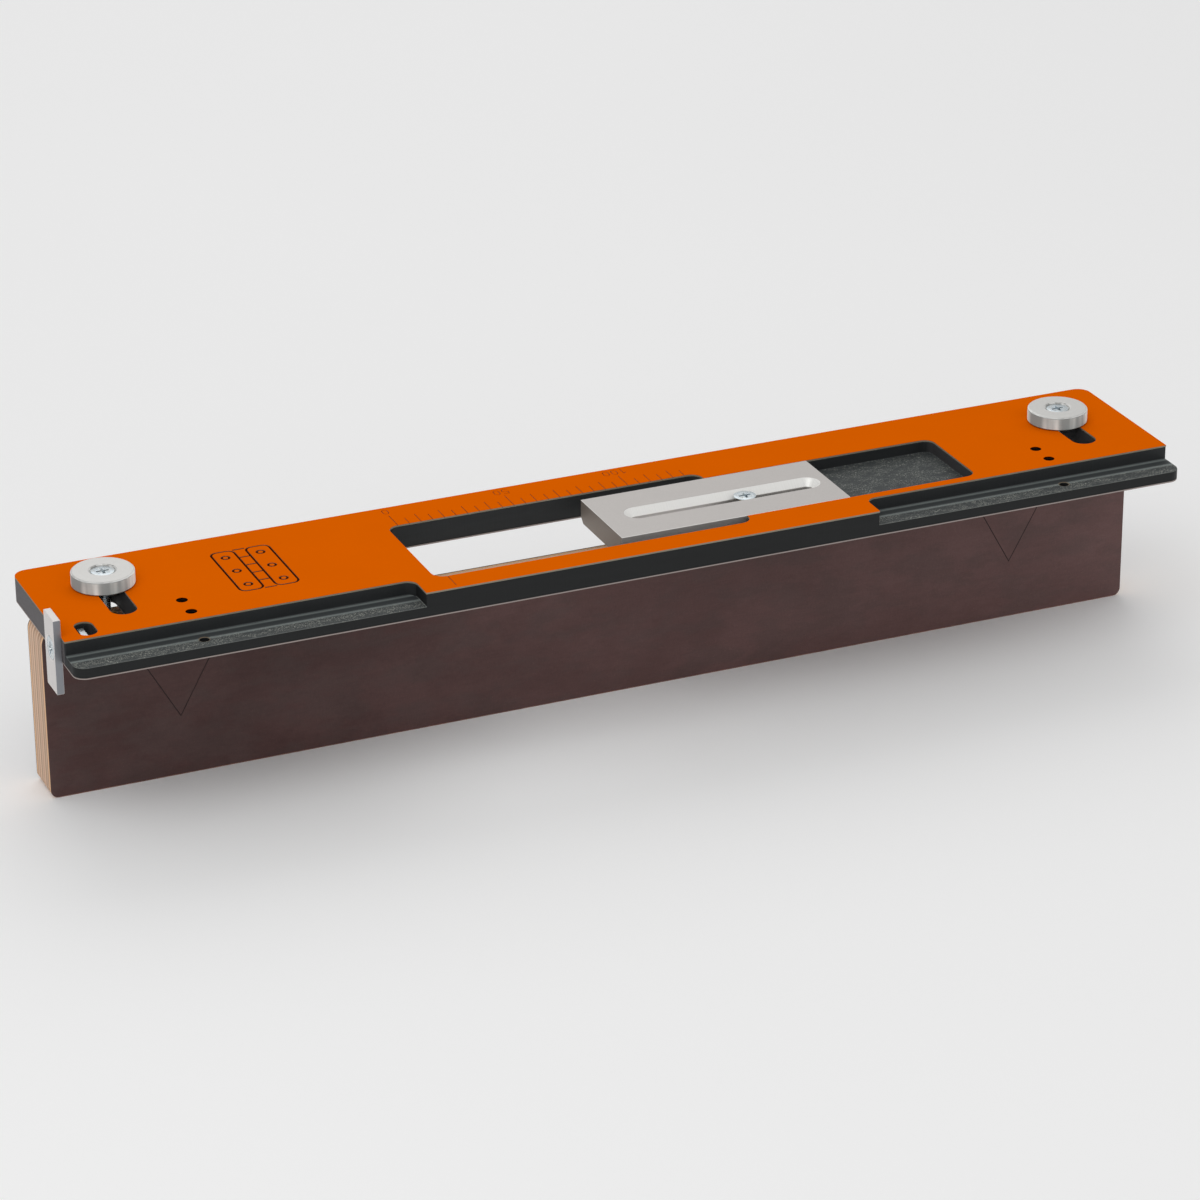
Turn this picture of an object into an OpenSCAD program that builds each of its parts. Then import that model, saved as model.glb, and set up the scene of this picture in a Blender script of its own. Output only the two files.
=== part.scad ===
// Jig for routing hinge recesses.
// A slotted template plate carries a sliding stop block on a scale and a swivelling end stop.
// Two screws with disc washers hold it on the top edge of a fence board.
// +X runs along the jig, +Y towards its back edge and +Z up.
// The origin lies under the middle of the whole jig, on the surface that it stands on.

/* [Template plate] */
// Length of the plate
plate_len = 474; // [440:1:560]
// Width of the plate, front to back
plate_w = 84; // [80:1:110]
// Thickness of the plate with both laminates
plate_t = 10.8; // [10:0.2:16]
// Thickness of the coloured laminate on top
top_laminate_t = 0.8; // [0.5:0.1:1.5]
// Thickness of the backing laminate underneath
backing_laminate_t = 0.6; // [0.4:0.1:1.2]
// Radius of the two back corners
plate_back_r = 5.5; // [1:0.5:10]
// Radius of the two front corners of the ledges
plate_front_r = 5; // [1:0.5:6]
// Distance from the left end of the plate to the zero of the scale
zero_from_end = 153.9; // [145:0.1:170]
// Distance from the zero of the scale to the centre line of the slots, holes and ledges
centre_from_zero = 83.8; // [76:0.1:90]

/* [Window and pocket] */
// Length of the window along the jig
window_len = 136; // [120:1:150]
// Width of the window
window_w = 54.2; // [50:0.2:60]
// Distance from the left end of the window to the zero of the scale
window_before_zero = 5; // [2:0.5:10]
// Width of the rail in front of the window
front_rail_w = 11.4; // [10:0.2:14]
// Corner radius of the window
window_r = 5; // [2:0.5:8]
// Width of the blind pocket that guides the stop block
pocket_w = 42.2; // [38:0.2:46]
// Depth of the blind pocket
pocket_depth = 5.6; // [5:0.1:7]
// Corner radius at the closed end of the pocket
pocket_r = 4.5; // [2:0.5:8]
// Room left between the stop block at its far limit and the closed end of the pocket
pocket_end_gap = 10; // [6:0.5:20]

/* [Front ledges] */
// Length of the left ledge
ledge_len_left = 140.7; // [130:0.1:145]
// Length of the right ledge
ledge_len_right = 138.7; // [130:0.1:145]
// Width of the ledges
ledge_w = 13.5; // [10:0.1:16]
// Depth from the top of the plate down to the ledges
ledge_depth = 6; // [4:0.1:8]
// Corner radius at the inner end of each ledge
ledge_r = 4.5; // [1:0.5:8]
// Diameter of the hole in each ledge
ledge_hole_d = 3.8; // [3:0.1:5]
// Distance from the front edge to the ledge holes
ledge_hole_in = 6.6; // [5:0.1:8]
// Distance between the two ledge holes
ledge_hole_span = 369.8; // [350:0.2:380]

/* [Pin holes] */
// Diameter of the four pin holes
pin_hole_d = 4.6; // [3:0.1:6]
// Distance between the left and the right pair of pin holes
pin_span = 370.4; // [350:0.2:376]
// Distance between the two pin holes of a pair
pin_pitch = 11.4; // [8:0.1:14]
// Distance from the front edge to the nearer pin holes
pin_in = 20.5; // [18:0.1:24]

/* [Clamps] */
// Distance between the two clamp slots
clamp_span = 416.4; // [408:0.2:424]
// Width of the clamp slots
clamp_slot_w = 10.6; // [8:0.2:14]
// Length of the clamp slots, end to end
clamp_slot_len = 38; // [30:0.5:44]
// Distance from the front edge to the near end of the clamp slots
clamp_slot_in = 28; // [24:0.5:32]
// Diameter of the disc washers
disc_d = 25; // [20:0.5:30]
// Height of the disc washers
disc_h = 6; // [5:0.2:8]
// Edge chamfer of the disc washers
disc_chamfer = 0.6; // [0.2:0.1:1.2]
// Length of the clamp screws
clamp_screw_len = 35; // [28:1:45]
// Diameter of the threaded inserts in the fence
insert_d = 8; // [7:0.2:9]
// Length of the threaded inserts in the fence
insert_len = 13; // [8:0.5:16]
// Diameter of the flange on those inserts
insert_flange_d = 10; // [9.2:0.2:12]
// Thickness of that flange
insert_flange_t = 1; // [0.6:0.1:1.5]
// Distance of the left insert behind the board's middle, and of the right one in front of it
insert_stagger = 1.5; // [0:0.1:3]

/* [Fence board] */
// Length of the fence board
fence_len = 474.6; // [440:0.2:560]
// Height of the fence board
fence_h = 71.5; // [55:0.5:120]
// Thickness of the fence board with both films
fence_t = 19.2; // [17:0.1:25]
// Thickness of the film on each face
film_t = 0.4; // [0.2:0.1:0.8]
// Radius of the lower corners of the board
fence_low_r = 3.4; // [1:0.2:8]
// Radius of the upper corners of the board
fence_top_r = 6; // [1:0.5:10]
// Distance from the front edge of the plate to the face of the fence, as it is set
fence_set = 47.8; // [44:0.1:50]
// Distance by which the board stays short of the left end of the plate
fence_end_gap = 0.5; // [0.3:0.1:3]
// Depth of the relief in the top edge under the window
relief_depth = 14.4; // [10:0.2:20]
// Distance by which the relief runs past each end of the window
relief_past = 5; // [3:0.5:15]
// Corner radius of the relief
relief_r = 8; // [3:0.5:10]
// Width of the seat notch around each insert
seat_notch_w = 16; // [14:0.5:20]
// Depth of the seat notch around each insert
seat_notch_depth = 3.5; // [2:0.1:5]

/* [Stop block] */
// Length of the stop block
block_len = 100.6; // [95:0.2:110]
// Scale reading of its nose, as it is set
nose_reading = 76.4; // [70:0.1:90]
// Length of the deep nose that hangs in the window
nose_len = 6.4; // [4:0.1:8]
// Height of the nose
nose_h = 9.8; // [8:0.1:10]
// Chamfer along the lower edges of the nose
nose_chamfer = 2.5; // [1:0.1:4]
// Side clearance of the block in the pocket
block_side_gap = 0.2; // [0.1:0.05:0.4]
// Distance from the nose to the nearer end of the path of the screw
slot_path_start = 16; // [14:0.1:20]
// Length of the path of the screw in the block
slot_path_len = 74.6; // [60:0.1:76]
// Width of the countersunk slot at the top of the block
slot_top_w = 11.5; // [11:0.1:12.5]
// Distance from the front of the block to the middle of its slot
slot_in = 20.6; // [18:0.1:23]
// Distance from the window to the stop screw
stop_screw_in = 8.5; // [6:0.1:12]
// Length of the stop screw
stop_screw_len = 9.4; // [8:0.2:9.8]
// Diameter of the threaded insert in the pocket floor
stop_insert_d = 7; // [6.4:0.1:8]

/* [End stop] */
// Thickness of the end stop bar
bar_t = 3; // [2.8:0.1:5]
// Width of the end stop bar
bar_w = 12.4; // [11:0.1:16]
// Distance from the pivot up to the top of the bar
bar_up = 13.6; // [10:0.1:20]
// Distance from the pivot down to the foot of the bar
bar_down = 17.3; // [14:0.1:24]
// Distance from the front edge of the plate to the pivot
pivot_in = 23.6; // [22:0.1:26]
// Distance from the top of the plate down to the pivot
pivot_drop = 6.2; // [5.6:0.1:6.6]
// Diameter of the countersink in the bar
bar_sink_d = 10.4; // [10:0.1:11]
// Length of the end stop screw
bar_screw_len = 16; // [15:0.2:17]
// Distance from the left end of the plate to the middle of the nut slot
nut_slot_in = 10.9; // [10.2:0.1:12]
// Width of the nut slot
nut_slot_w = 7.5; // [6.5:0.1:9]
// Length of the nut slot, end to end
nut_slot_len = 13.1; // [12.5:0.1:16]
// Distance by which the nut slot lies in front of the pivot
nut_slot_shift = 1.7; // [1:0.1:2]
// Width across the flats of the square nut
nut_w = 8; // [7.5:0.1:8.4]
// Thickness of the square nut
nut_t = 2.7; // [2:0.1:3]
// Distance from the wall of the nut slot to the nut
nut_back_off = 1.65; // [1.6:0.05:2.2]

/* [Screws] */
// Thread diameter of every screw
screw_d = 5; // [4.6:0.1:5.2]
// Head diameter of every screw
head_d = 9.2; // [9:0.1:9.6]
// Height of the straight rim of the head
head_rim = 0.3; // [0.2:0.05:0.5]
// Diameter of the countersink in the disc washers
disc_sink_d = 11.2; // [11:0.1:12]
// Radial clearance of a screw in the hole of another piece
hole_gap = 0.3; // [0.3:0.05:0.4]
// Radial running clearance of a screw in its thread
thread_gap = 0.05; // [0.03:0.01:0.09]
// Clearance between a screw head and its countersink
sink_gap = 0.14; // [0.1:0.01:0.2]
// Clearance around an insert in its hole
press_gap = 0.02; // [0.01:0.01:0.04]
// Length of the arms of the cross recess, tip to tip
recess_w = 5.2; // [4:0.1:6]
// Width of the arms of the cross recess
recess_arm = 1.1; // [0.8:0.1:1.5]
// Depth of the cross recess
recess_depth = 2; // [1.2:0.1:2.4]
// Chamfer at the tip of a screw
tip_chamfer = 0.6; // [0.3:0.1:1]

/* [Engraving] */
// Distance between two marks of the scale
scale_step = 5; // [5:5:10]
// Last reading of the scale
scale_end = 125; // [100:5:125]
// Length of the shortest marks
mark_short = 5.5; // [4:0.1:6.5]
// Length of the marks at every second step
mark_mid = 7.6; // [6.6:0.1:8.6]
// Length of the marks at every tenth step
mark_long = 10.2; // [9:0.1:10.6]
// Width of an engraved scale line
mark_line = 0.35; // [0.2:0.05:0.6]
// Depth of the engraving
mark_depth = 0.3; // [0.1:0.05:0.4]
// Length of the zero mark across the front rail
front_mark = 9.6; // [7:0.1:10]
// Height of a numeral
digit_h = 4.4; // [3:0.1:5]
// Width of a numeral
digit_w = 2.6; // [2:0.1:3]
// Space between two numerals
digit_space = 1.1; // [0.6:0.1:1.5]
// Distance from the back edge of the plate to the foot of the numerals
digit_in = 2; // [1.2:0.1:2.4]
// Length of the hinge sign, along the knuckle
sign_len = 40; // [37:0.5:46]
// Width of the hinge sign with both leaves open
sign_w = 25; // [20:0.5:30]
// Width of an engraved line of the hinge sign
sign_line = 1; // [0.4:0.1:1.2]
// Distance from the left end of the plate to the middle of the hinge sign
sign_from_end = 88; // [80:0.5:95]
// Distance from the front edge to the middle of the hinge sign
sign_in = 49.4; // [46:0.1:52]
// Side length of the triangular setting-out marks on the fence
face_mark_w = 38; // [25:0.5:45]
// Height of the setting-out marks
face_mark_h = 34; // [25:0.5:40]
// Distance from the top edge of the board to the setting-out marks
face_mark_drop = 12; // [8:0.5:15]
// Distance between the two setting-out marks
face_mark_span = 366; // [340:1:380]
// Depth of the setting-out marks
face_mark_depth = 0.15; // [0.1:0.05:0.15]

/* [Hidden] */
$fn = 96;

// Overrun of every cut past the face that it opens
over = plate_t / 10;

// Places along X, counted from the zero of the scale
plate_x0 = -zero_from_end;
plate_x1 = plate_x0 + plate_len;
window_x0 = -window_before_zero;
window_x1 = window_x0 + window_len;
stop_screw_x = window_x1 + stop_screw_in;
pocket_x1 = stop_screw_x + block_len - slot_path_start + pocket_end_gap;
clamp_x = [centre_from_zero - clamp_span / 2, centre_from_zero + clamp_span / 2];
nut_slot_x = plate_x0 + nut_slot_in;
nut_x0 = nut_slot_x - nut_slot_w / 2 + nut_back_off;
fence_x0 = plate_x0 + fence_end_gap;
fence_x1 = fence_x0 + fence_len;
jig_x0 = plate_x0 - bar_t;
jig_x1 = max(plate_x1, fence_x1);

// Places along Y, counted from the front edge of the plate
window_mid_y = front_rail_w + window_w / 2;
window_y1 = front_rail_w + window_w;
block_y0 = window_mid_y - pocket_w / 2 + block_side_gap;
block_w = pocket_w - 2 * block_side_gap;
stop_screw_y = block_y0 + slot_in;
clamp_slot_y = clamp_slot_in + clamp_slot_len / 2;
fence_mid_y = fence_set + fence_t / 2;
insert_y = [fence_mid_y + insert_stagger, fence_mid_y - insert_stagger];
nut_slot_y = pivot_in - nut_slot_shift;

// Places along Z, counted from the top of the plate
core_top = -top_laminate_t;
core_low = backing_laminate_t - plate_t;
core_t = core_top - core_low;
ledge_z = -ledge_depth;
pocket_z = -pocket_depth;
fence_top = -plate_t;
seat_z = fence_top - seat_notch_depth;
stop_insert_len = plate_t - pocket_depth - press_gap;

// Screws
screw_r = screw_d / 2;
head_r = head_d / 2;
head_h = head_rim + head_r - screw_r;
hole_r = screw_r + hole_gap;
thread_r = screw_r + thread_gap;
recess_core_share = 0.3;

// How far a head sits below the face of a countersink of radius r
function sunk(r) = r - head_r - head_rim - sink_gap;

disc_head_top = disc_h - sunk(disc_sink_d / 2);
stop_head_top = -sunk(slot_top_w / 2);
bar_head_in = sunk(bar_sink_d / 2);

// Outlines of the numerals, from the lower left corner, as shares of their width and height
one_shares = [[0.15, 0.78], [0.6, 1], [0.6, 0]];
five_shares = [
    [0.95, 1], [0.1, 1], [0.05, 0.56], [0.6, 0.63], [0.95, 0.45], [0.95, 0.2], [0.65, 0], [0, 0.04]
];

// Distance between two marks that carry numerals
numbered_step = 50;
// Readings that carry numerals, each with its place along the scale and its digits
scale_readings = [[0, [0]], [numbered_step, [5, 0]], [2 * numbered_step, [1, 0, 0]]];

// The hinge sign
knuckle_share = 0.16;
knuckle_w = sign_w * knuckle_share;
leaf_w = (sign_w - knuckle_w) / 2;
knuckle_count = 5;
leaf_r = sign_len / 12;
leaf_hole_r = leaf_w / 7;
leaf_hole_shares = [-0.34, 0, 0.34];

// Puts a piece, drawn from the zero of the scale, the front edge and the top, in the jig's frame
module place() {
    translate([-(jig_x0 + jig_x1) / 2, -plate_w / 2, plate_t + fence_h]) children();
}

// A flat layer with its top face at height top
module layer(top, t) {
    translate([0, 0, top - t]) linear_extrude(t) children();
}

// A straight stroke of width w between two points of a drawing
module stroke(a, b, w) {
    run = b - a;
    translate(a) rotate(atan2(run[1], run[0])) translate([-w / 2, -w / 2]) square([norm(run) + w, w]);
}

// A chain of strokes through points
module strokes(points, w) {
    for (i = [0 : len(points) - 2]) stroke(points[i], points[i + 1], w);
}

// A rectangle from corner a to corner b with four round corners
module round_rect(a, b, r) {
    translate([a[0] + r, a[1]]) square([b[0] - a[0] - 2 * r, b[1] - a[1]]);
    translate([a[0], a[1] + r]) square([b[0] - a[0], b[1] - a[1] - 2 * r]);
    for (x = [a[0] + r, b[0] - r], y = [a[1] + r, b[1] - r]) translate([x, y]) circle(r);
}

// A slot along Y with round ends
module slot_y(middle, length, w) {
    reach = (length - w) / 2;
    translate(middle - [w / 2, reach]) square([w, 2 * reach]);
    for (side = [-1, 1]) translate(middle + [0, side * reach]) circle(w / 2);
}

// Outline of the plate with its round corners
module plate_outline() {
    r0 = plate_front_r;
    r1 = plate_back_r;
    translate([plate_x0, r0]) square([plate_len, plate_w - r0 - r1]);
    translate([plate_x0 + r0, 0]) square([plate_len - 2 * r0, plate_w / 2]);
    translate([plate_x0 + r1, plate_w / 2]) square([plate_len - 2 * r1, plate_w / 2]);
    for (x = [plate_x0 + r0, plate_x1 - r0]) translate([x, r0]) circle(r0);
    for (x = [plate_x0 + r1, plate_x1 - r1]) translate([x, plate_w - r1]) circle(r1);
}

// Every opening that goes right through the plate
module plate_openings() {
    round_rect([window_x0, front_rail_w], [window_x1, window_y1], window_r);
    for (x = clamp_x) slot_y([x, clamp_slot_y], clamp_slot_len, clamp_slot_w);
    slot_y([nut_slot_x, nut_slot_y], nut_slot_len, nut_slot_w);
    for (side = [-1, 1]) {
        for (y = [pin_in, pin_in + pin_pitch]) {
            translate([centre_from_zero + side * pin_span / 2, y]) circle(pin_hole_d / 2);
        }
        translate([centre_from_zero + side * ledge_hole_span / 2, ledge_hole_in]) circle(ledge_hole_d / 2);
    }
}

// Plan of the two ledges, open to the front and to the ends
module ledge_plan() {
    near = -ledge_w - ledge_r;
    round_rect([plate_x0 - 2 * ledge_r, near], [plate_x0 + ledge_len_left, ledge_w], ledge_r);
    round_rect([plate_x1 - ledge_len_right, near], [plate_x1 + 2 * ledge_r, ledge_w], ledge_r);
}

// Plan of the pocket, open towards the window
module pocket_plan() {
    low = window_mid_y - pocket_w / 2;
    round_rect([window_x1 - 2 * window_r, low], [pocket_x1, low + pocket_w], pocket_r);
}

// The phenolic core of the plate
module template_plate() {
    color([0.13, 0.14, 0.14]) place() difference() {
        layer(core_top, core_t) difference() {
            plate_outline();
            plate_openings();
        }
        layer(core_top + over, core_top + over - ledge_z) ledge_plan();
        layer(core_top + over, core_top + over - pocket_z) pocket_plan();
        translate([stop_screw_x, stop_screw_y, core_low - over])
            cylinder(r = stop_insert_d / 2 + press_gap, h = core_t + 2 * over);
        translate([plate_x0 - over, pivot_in, -pivot_drop])
            rotate([0, 90, 0]) cylinder(r = hole_r, h = nut_slot_in + over);
    }
}

// Marks of the scale, from the back edge of the window outwards
module scale_marks() {
    for (i = [0 : scale_end / scale_step]) {
        length = i % 10 == 0 ? mark_long : i % 2 == 0 ? mark_mid : mark_short;
        translate([i * scale_step - mark_line / 2, window_y1 - over]) square([mark_line, length + over]);
    }
    translate([-mark_line / 2, front_rail_w - front_mark]) square([mark_line, front_mark + over]);
}

// A nought with its foot at the origin
module nought() {
    middle = [digit_w, digit_h] / 2;
    difference() {
        slot_y(middle, digit_h, digit_w);
        slot_y(middle, digit_h - 2 * mark_line, digit_w - 2 * mark_line);
    }
}

// A numeral drawn from its outline's shares
module numeral(shares) {
    strokes([for (p = shares) [p[0] * digit_w, p[1] * digit_h]], mark_line);
}

// One digit: 0, 1 or 5
module digit(value) {
    if (value == 0) nought();
    if (value == 1) numeral(one_shares);
    if (value == 5) numeral(five_shares);
}

// A reading of the scale, turned to be read from the back of the plate
module reading(at, digits) {
    advance = digit_w + digit_space;
    width = len(digits) * advance - digit_space;
    translate([at, plate_w - digit_in]) rotate(180) for (i = [0 : len(digits) - 1]) {
        translate([i * advance - width / 2, 0]) digit(digits[i]);
    }
}

// One outline of a leaf of the hinge sign, with its screw holes
module leaf_sign() {
    difference() {
        round_rect([0, -sign_len / 2], [leaf_w, sign_len / 2], leaf_r);
        round_rect(
            [sign_line, sign_line - sign_len / 2], [leaf_w - sign_line, sign_len / 2 - sign_line],
            leaf_r - sign_line
        );
    }
    for (share = leaf_hole_shares) translate([leaf_w / 2, share * sign_len]) difference() {
        circle(leaf_hole_r + sign_line / 2);
        circle(leaf_hole_r - sign_line / 2);
    }
}

// A sign of an open butt hinge
module hinge_sign() {
    for (side = [0, 1]) mirror([side, 0]) translate([knuckle_w / 2, 0]) leaf_sign();
    for (i = [0 : knuckle_count]) {
        y = (i / knuckle_count - 1 / 2) * (sign_len - sign_line);
        stroke([-knuckle_w / 2, y], [knuckle_w / 2, y], sign_line);
    }
}

// The coloured laminate with its engraving
module top_laminate() {
    color([0.82, 0.36, 0.01]) place() difference() {
        layer(0, top_laminate_t) difference() {
            plate_outline();
            plate_openings();
            ledge_plan();
            pocket_plan();
        }
        layer(over, mark_depth + over) {
            scale_marks();
            for (numbered = scale_readings) reading(numbered[0], numbered[1]);
            translate([plate_x0 + sign_from_end, sign_in]) hinge_sign();
        }
    }
}

// The thin backing laminate
module backing_laminate() {
    color([0.45, 0.43, 0.41]) place() layer(core_low, backing_laminate_t) difference() {
        plate_outline();
        plate_openings();
        translate([stop_screw_x, stop_screw_y]) circle(stop_insert_d / 2 + press_gap);
    }
}

// A countersunk screw along -Z with the top of its head at the origin
module countersunk_screw(length) {
    difference() {
        rotate_extrude() polygon([
            [0, 0], [head_r, 0], [head_r, -head_rim], [screw_r, -head_h],
            [screw_r, tip_chamfer - length], [screw_r - tip_chamfer, -length], [0, -length]
        ]);
        for (turn = [0, 90]) rotate(turn) translate([-recess_w / 2, -recess_arm / 2, -recess_depth])
            cube([recess_w, recess_arm, recess_depth + over]);
        translate([0, 0, -recess_depth]) cylinder(r = recess_w * recess_core_share, h = recess_depth + over);
    }
}

// The hole and the countersink for such a screw, along -Z from the origin
module countersink(sink_r, depth) {
    translate([0, 0, -depth - over]) cylinder(r = hole_r, h = depth + 2 * over);
    translate([0, 0, hole_r - sink_r]) cylinder(r1 = hole_r, r2 = sink_r, h = sink_r - hole_r);
    cylinder(r = sink_r, h = over);
}

// A threaded sleeve with its top at the origin
module sleeve(outer_r, length) {
    translate([0, 0, -length]) difference() {
        cylinder(r = outer_r, h = length);
        translate([0, 0, -over]) cylinder(r = thread_r, h = length + 2 * over);
    }
}

// The countersunk slot of the stop block, from the middle of its nearer end, along +X
module block_slot() {
    top_r = slot_top_w / 2;
    sink = top_r - hole_r;
    for (x = [0, slot_path_len]) translate([x, 0, 0]) countersink(top_r, pocket_depth);
    translate([0, -hole_r, -pocket_depth - over])
        cube([slot_path_len, 2 * hole_r, pocket_depth + 2 * over]);
    rotate([90, 0, 90]) linear_extrude(slot_path_len)
        polygon([[-hole_r, -sink], [hole_r, -sink], [top_r, 0], [top_r, over], [-top_r, over], [-top_r, 0]]);
}

// The sliding stop block with its deep nose
module stop_block() {
    c = nose_chamfer;
    color([0.75, 0.75, 0.73]) place() translate([nose_reading, block_y0, 0]) difference() {
        union() {
            translate([0, 0, -pocket_depth]) cube([block_len, block_w, pocket_depth]);
            rotate([90, 0, 90]) linear_extrude(nose_len) polygon([
                [0, 0], [0, c - nose_h], [c, -nose_h], [block_w - c, -nose_h], [block_w, c - nose_h], [block_w, 0]
            ]);
        }
        translate([slot_path_start, slot_in, 0]) block_slot();
    }
}

// The screw that locks the stop block
module stop_screw() {
    color([0.72, 0.75, 0.77]) place() translate([stop_screw_x, stop_screw_y, stop_head_top])
        countersunk_screw(stop_screw_len);
}

// The threaded insert in the pocket floor
module stop_insert() {
    color([0.75, 0.6, 0.3]) place() translate([stop_screw_x, stop_screw_y, pocket_z - press_gap])
        sleeve(stop_insert_d / 2, stop_insert_len);
}

// The bar that swivels at the left end of the plate
module end_stop_bar() {
    color([0.8, 0.79, 0.78]) place() translate([plate_x0 - bar_t, pivot_in, -pivot_drop]) difference() {
        translate([0, -bar_w / 2, -bar_down]) cube([bar_t, bar_w, bar_down + bar_up]);
        rotate([0, -90, 0]) countersink(bar_sink_d / 2, bar_t);
    }
}

// The screw on which the bar swivels
module end_stop_screw() {
    color([0.72, 0.75, 0.77]) place() translate([plate_x0 - bar_t + bar_head_in, pivot_in, -pivot_drop])
        rotate([0, -90, 0]) countersunk_screw(bar_screw_len);
}

// The square nut in its slot
module end_stop_nut() {
    color([0.8, 0.82, 0.84]) place() translate([nut_x0, pivot_in, -pivot_drop]) difference() {
        translate([0, -nut_w / 2, -nut_w / 2]) cube([nut_t, nut_w, nut_w]);
        translate([-over, 0, 0]) rotate([0, 90, 0]) cylinder(r = thread_r, h = nut_t + 2 * over);
    }
}

// A turned disc washer, side 0 on the left and 1 on the right
module clamp_disc(side) {
    r = disc_d / 2;
    c = disc_chamfer;
    color([0.82, 0.81, 0.79]) place() translate([clamp_x[side], insert_y[side], 0]) difference() {
        rotate_extrude() polygon([
            [0, 0], [r - c, 0], [r, c], [r, disc_h - c], [r - c, disc_h], [0, disc_h]
        ]);
        translate([0, 0, disc_h]) countersink(disc_sink_d / 2, disc_h);
    }
}

// A clamp screw through its disc, the plate and the insert in the fence
module clamp_screw(side) {
    color([0.72, 0.75, 0.77]) place() translate([clamp_x[side], insert_y[side], disc_head_top])
        countersunk_screw(clamp_screw_len);
}

// The flanged insert in the top edge of the fence
module fence_insert(side) {
    color([0.75, 0.6, 0.3]) place() translate([clamp_x[side], insert_y[side], seat_z]) {
        sleeve(insert_d / 2, insert_len);
        translate([0, 0, insert_flange_t]) sleeve(insert_flange_d / 2, insert_flange_t);
    }
}

// Face of the fence board in X and Z: round corners, the relief and the seat notches
module fence_outline() {
    low = fence_top - fence_h;
    relief_x0 = window_x0 - relief_past;
    relief_x1 = window_x1 + relief_past;
    difference() {
        union() {
            translate([fence_x0, low + fence_low_r])
                square([fence_len, fence_h - fence_low_r - fence_top_r]);
            translate([fence_x0 + fence_low_r, low]) square([fence_len - 2 * fence_low_r, fence_h / 2]);
            translate([fence_x0 + fence_top_r, low + fence_h / 2])
                square([fence_len - 2 * fence_top_r, fence_h / 2]);
            for (x = [fence_x0 + fence_low_r, fence_x1 - fence_low_r])
                translate([x, low + fence_low_r]) circle(fence_low_r);
            for (x = [fence_x0 + fence_top_r, fence_x1 - fence_top_r])
                translate([x, fence_top - fence_top_r]) circle(fence_top_r);
        }
        round_rect([relief_x0, fence_top - relief_depth], [relief_x1, fence_top + 2 * relief_r], relief_r);
        for (x = clamp_x) translate([x - seat_notch_w / 2, seat_z])
            square([seat_notch_w, seat_notch_depth + over]);
    }
}

// A layer of the fence board from depth y0 to depth y1
module fence_layer(y0, y1) {
    translate([0, y1, 0]) rotate([90, 0, 0]) linear_extrude(y1 - y0) children();
}

// The plywood core of the fence with its insert holes
module fence_core() {
    color([0.78, 0.66, 0.56]) place() difference() {
        fence_layer(fence_set + film_t, fence_set + fence_t - film_t) fence_outline();
        for (side = [0, 1]) translate([clamp_x[side], insert_y[side], disc_head_top - clamp_screw_len - over]) {
            cylinder(r = hole_r, h = clamp_screw_len);
        }
        for (side = [0, 1]) translate([clamp_x[side], insert_y[side], seat_z - insert_len - press_gap])
            cylinder(r = insert_d / 2 + press_gap, h = insert_len + over);
    }
}

// Outline of one triangular setting-out mark, pointing down
module face_mark() {
    strokes([
        [-face_mark_w / 2, 0], [face_mark_w / 2, 0], [0, -face_mark_h], [-face_mark_w / 2, 0]
    ], mark_line);
}

// The front film with two setting-out marks scribed in it
module fence_front_film() {
    color([0.27, 0.21, 0.21]) place() difference() {
        fence_layer(fence_set, fence_set + film_t) fence_outline();
        for (side = [-1, 1]) fence_layer(fence_set - over, fence_set + face_mark_depth)
            translate([centre_from_zero + side * face_mark_span / 2, fence_top - face_mark_drop]) face_mark();
    }
}

// The plain back film
module fence_back_film() {
    color([0.27, 0.21, 0.21]) place()
        fence_layer(fence_set + fence_t - film_t, fence_set + fence_t) fence_outline();
}

template_plate();
top_laminate();
backing_laminate();
stop_block();
stop_screw();
stop_insert();
end_stop_bar();
end_stop_screw();
end_stop_nut();
clamp_disc(0);  // clamp_disc_left
clamp_disc(1);  // clamp_disc_right
clamp_screw(0);  // clamp_screw_left
clamp_screw(1);  // clamp_screw_right
fence_insert(0);  // fence_insert_left
fence_insert(1);  // fence_insert_right
fence_core();
fence_front_film();
fence_back_film();
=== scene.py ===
"""Dressed model of a jig for routing hinge recesses.

A slotted template plate with a sliding stop block and a swivelling end stop is held
on a fence board by two screws with disc washers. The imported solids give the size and
place of each piece. This script gives them their finishes, and swaps the plain screws
for threaded ones. All lengths are in metres.
"""
import logging
import math
from dataclasses import dataclass, field
from enum import Enum
from typing import Callable, Optional, Sequence, Union

import bmesh
import bpy
from mathutils import Matrix, Vector


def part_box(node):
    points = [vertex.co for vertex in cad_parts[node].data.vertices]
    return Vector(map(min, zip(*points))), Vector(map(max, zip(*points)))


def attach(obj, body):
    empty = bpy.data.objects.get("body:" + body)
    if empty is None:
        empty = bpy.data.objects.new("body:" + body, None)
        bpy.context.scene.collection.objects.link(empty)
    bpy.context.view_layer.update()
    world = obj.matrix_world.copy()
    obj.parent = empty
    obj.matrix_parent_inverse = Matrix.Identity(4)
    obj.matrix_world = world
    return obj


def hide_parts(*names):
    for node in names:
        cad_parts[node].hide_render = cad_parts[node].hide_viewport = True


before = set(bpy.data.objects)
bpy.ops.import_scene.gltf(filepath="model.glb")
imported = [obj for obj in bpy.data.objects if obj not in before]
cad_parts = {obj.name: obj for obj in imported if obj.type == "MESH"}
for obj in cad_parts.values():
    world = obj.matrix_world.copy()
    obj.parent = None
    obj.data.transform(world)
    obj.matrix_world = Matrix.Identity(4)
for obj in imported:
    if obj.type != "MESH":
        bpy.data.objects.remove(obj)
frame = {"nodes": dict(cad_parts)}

MM = 0.001
SAME_POINT = 0.001 * MM
FLAT_ANGLE = 0.4
AREA_WEIGHT = 80
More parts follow.
